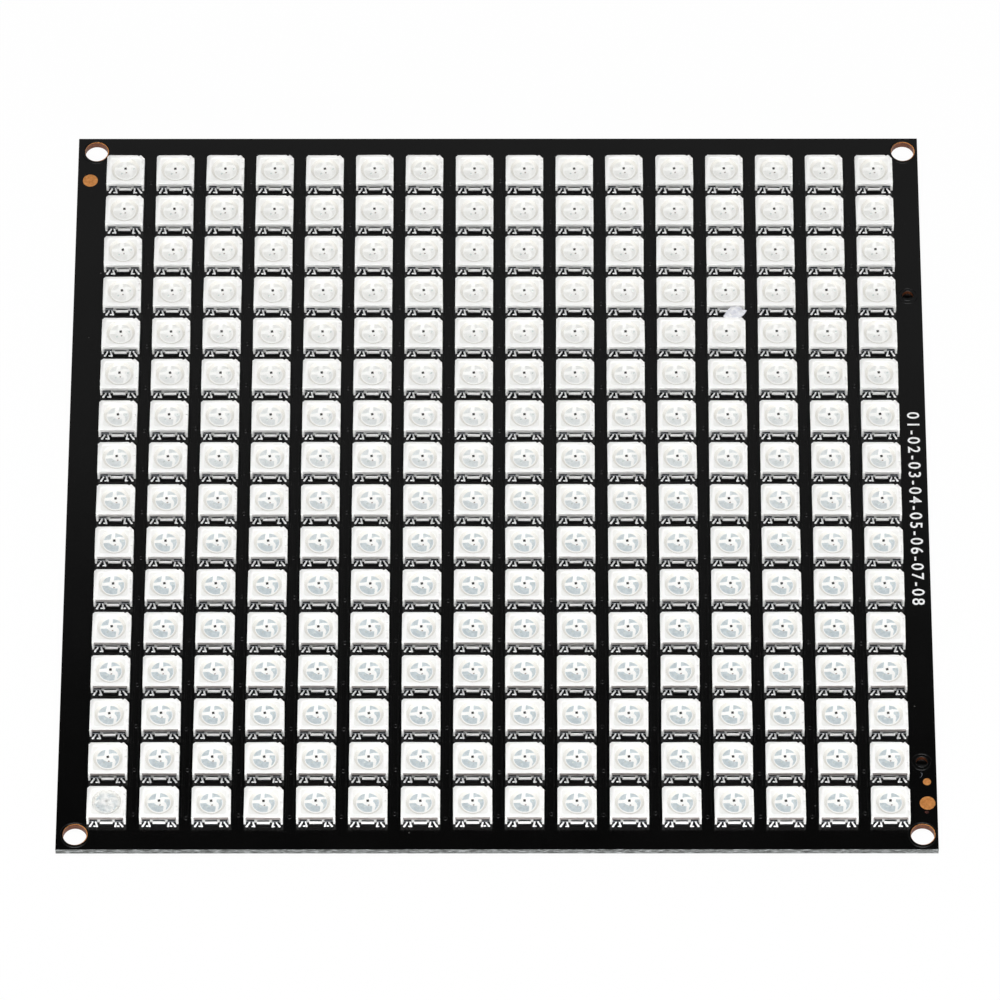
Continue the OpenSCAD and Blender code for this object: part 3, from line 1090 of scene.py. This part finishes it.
class BuildLeads(PieceOperator, bpy.types.Operator):
    """Makes the leads and their solder, row by row"""

    bl_idname = "lamp_panel.build_leads"
    bl_label = "Leads and solder"

    def make(self, context):
        s = sizes_mm(context)
        corners = [(side, x) for side in (-1, 1) for x in (-s.lead_pitch / 2, s.lead_pitch / 2)]
        leads = joined([lead_shape(s, side, x) for side, x in corners])
        draw = random.Random(context.scene.panel_sizes.seed)
        kinds = []
        for _ in range(SOLDER_KINDS):
            looks = [[draw.uniform(*limits) for limits in SOLDER_RANGES] for _ in corners]
            kinds.append(joined([solder_shape(s, side, x, look) for (side, x), look in zip(corners, looks)]))
        for row in ROWS:
            places = lamp_places(context, row)
            node = "leads_row_" + row
            strips = joined([moved(leads, p) for p in places])
            make_piece("tinned_" + node, strips, [bright_tin], [node])
            joints = joined([moved(draw.choice(kinds), p) for p in places])
            make_piece("solder_row_" + row, joints, [solder, bright_tin])


# The material, size, place and turn in degrees of each chip: the driver, the red light and two more lights.
CHIPS = (
    (0, (0.33, 0.31, 0.1), (-0.02, 0.25), 8),
    (1, (0.22, 0.14, 0.06), (0.12, -0.42), 20),
    (2, (0.24, 0.18, 0.08), (-0.5, -0.6), 35),
    (2, (0.24, 0.18, 0.08), (1.1, 0.2), 70),
)


class BuildInsides(PieceOperator, bpy.types.Operator):
    """Makes what lies in the cups: lead frame flags, driver chips and light chips"""

    bl_idname = "lamp_panel.build_insides"
    bl_label = "Lead frames and chips"

    def make(self, context):
        s = sizes_mm(context)
        floor = s.h - s.cup_depth
        back = Matrix.Translation((0, 0.1, 0))
        flags = moved(frame_shape(s), back)
        chips = []
        for slot, size, place, degrees in CHIPS:
            chips.append(painted(turned_box(size, (*place, floor + 0.01), degrees), slot))
        chips = moved(joined(chips), back)
        for row in ROWS:
            places = lamp_places(context, row)
            plates = joined([moved(flags, p) for p in places])
            make_piece("lead_frame_row_" + row, plates, [silver_plate])
            dies = joined([moved(chips, p) for p in places])
            make_piece("chips_row_" + row, dies, [silicon_die, red_light_die, sapphire_die])


class BuildFills(PieceOperator, bpy.types.Operator):
    """Makes the clear silicone in the cups"""

    bl_idname = "lamp_panel.build_fills"
    bl_label = "Clear fills"

    def make(self, context):
        fill = fill_shape(sizes_mm(context))
        for row in ROWS:
            node = "fills_row_" + row
            places = lamp_places(context, row)
            fills = [moved(fill, place) for place in places]
            if row == ROWS[-1]:
                fills[0] = painted(fills[0], 1)
            finishes = [clear_silicone, clouded_silicone]
            make_piece("clear_" + node, joined(fills), finishes, [node])


INK_T = 0.006
NUMBERS_PLACE = (55.75, -3.8)


class BuildNumbers(PieceOperator, bpy.types.Operator):
    """Prints plain counting numbers down the right-hand margin"""

    bl_idname = "lamp_panel.build_numbers"
    bl_label = "Printed numbers"

    def make(self, context):
        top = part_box("mask_front")[1][2]
        curve = bpy.data.curves.new("printed_numbers", "FONT")
        curve.body = "-".join("%02d" % n for n in range(1, 9))
        curve.size = 2.3 * MM
        curve.extrude = INK_T * MM
        curve.align_x = "CENTER"
        curve.align_y = "CENTER"
        curve.space_character = 1.3
        curve.offset = 0.02 * MM
        text = bpy.data.objects.new("text_source", curve)
        context.scene.collection.objects.link(text)
        graph = context.evaluated_depsgraph_get()
        mesh = bpy.data.meshes.new_from_object(text.evaluated_get(graph))
        bpy.data.objects.remove(text)
        piece = bpy.data.objects.new("printed_numbers", mesh)
        context.scene.collection.objects.link(piece)
        turn = Matrix.Rotation(-math.pi / 2, 4, "Z")
        x, y = (distance * MM for distance in NUMBERS_PLACE)
        mesh.transform(Matrix.Translation((x, y, top + INK_T * MM)) @ turn)
        mesh.materials.clear()
        mesh.materials.append(finish(marking_ink))
        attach(piece, "root")


# The studio, in metres. A softbox has a name, a place, a point it faces, its sides and its power's setting.
FLOOR_HALF = 4
FLOOR_GAP = 0.0002
FLAG_CORNERS = (
    (-1.6, 0.52, 0.0), (1.6, 0.52, 0.0), (1.6, 0.52, 1.1), (-1.6, 0.52, 1.1),
    (1.6, 0.05, 1.7), (-1.6, 0.05, 1.7),
)
SOFTBOXES = (
    ("key_softbox", (0.0, -0.3, 0.7), (0.0, 0.12, 0.0), (0.6, 0.45), "key_power"),
    ("back_softbox", (0.0, 0.5, 0.41), (0.0, 0.0, 0.41), (1.2, 0.7), "back_power"),
    ("front_softbox", (0.0, -1.0, 0.16), (0.0, 0.0, 0.0), (1.0, 0.24), "front_power"),
    ("left_softbox", (-0.9, 0.0, 0.45), (0.0, 0.0, 0.0), (0.5, 0.5), "side_power"),
    ("right_softbox", (0.9, 0.0, 0.45), (0.0, 0.0, 0.0), (0.5, 0.5), "side_power"),
)


class BuildStage(PieceOperator, bpy.types.Operator):
    """Makes the floor, the studio light, the surround and the camera"""

    bl_idname = "lamp_panel.build_stage"
    bl_label = "Stage"

    def make(self, context):
        look = context.scene.panel_stage
        corners = [(FLOOR_HALF * sx, FLOOR_HALF * sy, 0) for sx, sy in ((-1, -1), (1, -1), (1, 1), (-1, 1))]
        floor = mesh_object("floor", corners, [(0, 1, 2, 3)])
        floor.location.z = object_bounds()[0][2] - FLOOR_GAP
        floor.data.materials.append(pale_floor())
        floor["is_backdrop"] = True
        flag = mesh_object("black_flag", FLAG_CORNERS, [(0, 1, 2, 3), (3, 2, 4, 5)])
        flag.data.materials.append(black_card())
        flag.visible_camera = False
        flag.visible_shadow = False
        flag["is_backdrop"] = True
        white_surround(context, look)
        for name, place, aim, size, key in SOFTBOXES:
            lamp = bpy.data.lights.new(name, "AREA")
            lamp.shape = "RECTANGLE"
            lamp.size, lamp.size_y = size
            lamp.energy = getattr(look, key)
            holder = bpy.data.objects.new(name, lamp)
            holder.location = place
            holder.rotation_mode = "QUATERNION"
            holder.rotation_quaternion = (Vector(place) - Vector(aim)).to_track_quat("Z", "Y")
            context.scene.collection.objects.link(holder)
        self.place_camera(context, look)
        context.scene.view_settings.view_transform = "Standard"

    def place_camera(self, context, look):
        """Aims a long lens at the lamp side, square on to the front edge."""
        data = bpy.data.cameras.new("camera")
        data.lens = look.lens
        data.sensor_width = 36.0
        data.clip_start, data.clip_end = 0.01, 20.0
        camera = bpy.data.objects.new("camera", data)
        turn, rise, roll = look.turn, look.rise, look.roll
        back = Vector((math.sin(turn) * math.cos(rise), -math.cos(turn) * math.cos(rise), math.sin(rise)))
        right = Vector((math.cos(turn), math.sin(turn), 0))
        up = back.cross(right)
        right, up = right * math.cos(roll) + up * math.sin(roll), up * math.cos(roll) - right * math.sin(roll)
        target = Vector((look.aim_x, look.aim_y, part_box("mask_front")[1][2]))
        pose = Matrix((right, up, back)).transposed().to_4x4()
        camera.matrix_world = Matrix.Translation(target + back * look.distance) @ pose
        context.scene.collection.objects.link(camera)
        context.scene.camera = camera


class StageSettings(bpy.types.PropertyGroup):
    """Where the camera stands and how strong the studio lights are."""

    lens: FloatProperty(name="Lens", description="Focal length in millimetres", default=326.4)
    distance: length("Distance", "From the camera to the board's face", 1211.0)
    rise: angle("Rise", "Camera above the horizon", 55.76)
    turn: angle("Turn", "Camera round the panel", 0.23)
    roll: angle("Roll", "Camera about its own axis", -0.21)
    aim_x: length("Aim X", "What the camera looks at, along X", 0.34)
    aim_y: length("Aim Y", "What the camera looks at, along Y", -2.5)
    key_power: power("Key light", "Power of the key softbox", 5.9)
    back_power: power("Back light", "Power of the softbox behind", 1.45)
    front_power: power("Front light", "Power of the low softbox in front", 6.5)
    side_power: power("Side light", "Power of each softbox at the side", 0.5)
    surround: FloatProperty(name="Surround", description="Strength of the even light", default=0.02)


def seen_rays(tree):
    """1 for rays from the camera, from gloss or through clear pieces, and 0 for the rest."""
    path = add_node(tree, "ShaderNodeLightPath")
    value = path.outputs["Is Camera Ray"]
    for ray in ("Is Glossy Ray", "Is Transmission Ray"):
        larger = add_node(tree, "ShaderNodeMath", {"operation": "MAXIMUM"}, {0: value, 1: path.outputs[ray]})
        value = larger.outputs["Value"]
    return value


def black_card():
    """Matt black flag cloth, which the mask's gloss mirrors."""
    tones = linear("#020202"), linear("#040404")
    return mottled("black_flag_cloth", tones, 2.0, Roughness=0.95, Specular_IOR_Level=0.0)


# The share of the floor that shines as white as the surround; the rest takes the panel's shadow.
FLOOR_GLOW = 0.965


def pale_floor():
    """A matt white table top that keeps a soft shadow and meets a white surround."""
    material = mottled("matt_white_table", (linear("#F1F1F1"), linear("#F4F4F4")), 30.0, Roughness=0.9)
    tree = material.node_tree
    glow = add_node(tree, "ShaderNodeEmission", inputs={"Color": linear("#FFFFFF"), "Strength": 1.0})
    share = add_node(tree, "ShaderNodeMath", {"operation": "MULTIPLY"}, {0: seen_rays(tree), 1: FLOOR_GLOW})
    surface = tree.nodes["Principled BSDF"].outputs["BSDF"]
    add_node(tree, "ShaderNodeMixShader", inputs={
        0: share.outputs["Value"], 1: surface, 2: glow.outputs["Emission"],
    }, output=("Shader", tree.nodes["Material Output"].inputs["Surface"]))
    return material


def white_surround(context, look):
    """A world that is white to the eye and a plain even light to the object."""
    world = bpy.data.worlds.new("white_surround")
    context.scene.world = world
    world.use_nodes = True
    tree = world.node_tree
    sky = tree.nodes["Background"]
    sky.inputs["Color"].default_value = linear("#FFFFFF")
    limits = {"Value": seen_rays(tree), "To Min": look.surround, "To Max": 1.0}
    add_node(tree, "ShaderNodeMapRange", inputs=limits, output=("Result", sky.inputs["Strength"]))


class LAMPPANEL_PT_pieces(bpy.types.Panel):
    """Lists the pieces of the panel in the sidebar"""

    bl_label = "Lamp Panel"
    bl_space_type = "VIEW_3D"
    bl_region_type = "UI"
    bl_category = "Lamp Panel"

    def draw(self, context):
        layout = self.layout
        for operator in PIECES:
            layout.operator(operator.bl_idname)
        for group in (context.scene.panel_sizes, context.scene.panel_colours, context.scene.panel_stage):
            for key in group.__annotations__:
                layout.prop(group, key)


PIECES = (
    BuildBoard, BuildTracks, BuildPlatings, BuildMarks, BuildCapacitors, BuildHousings, BuildLeads,
    BuildInsides, BuildFills, BuildNumbers, BuildScrap, BuildStage,
)
CLASSES = (PanelSizes, PanelColours, StageSettings, *PIECES, LAMPPANEL_PT_pieces)


def register():
    """Registers the classes and hangs the settings on the scene."""
    for item in CLASSES:
        bpy.utils.register_class(item)
    bpy.types.Scene.panel_sizes = PointerProperty(type=PanelSizes)
    bpy.types.Scene.panel_colours = PointerProperty(type=PanelColours)
    bpy.types.Scene.panel_stage = PointerProperty(type=StageSettings)


def unregister():
    """Takes the settings and the classes away again."""
    del bpy.types.Scene.panel_stage
    del bpy.types.Scene.panel_colours
    del bpy.types.Scene.panel_sizes
    for item in reversed(CLASSES):
        bpy.utils.unregister_class(item)


def main():
    """Builds every piece and the stage."""
    register()
    for operator in PIECES:
        family, name = operator.bl_idname.split(".")
        getattr(getattr(bpy.ops, family), name)()


if __name__ == "__main__":
    main()
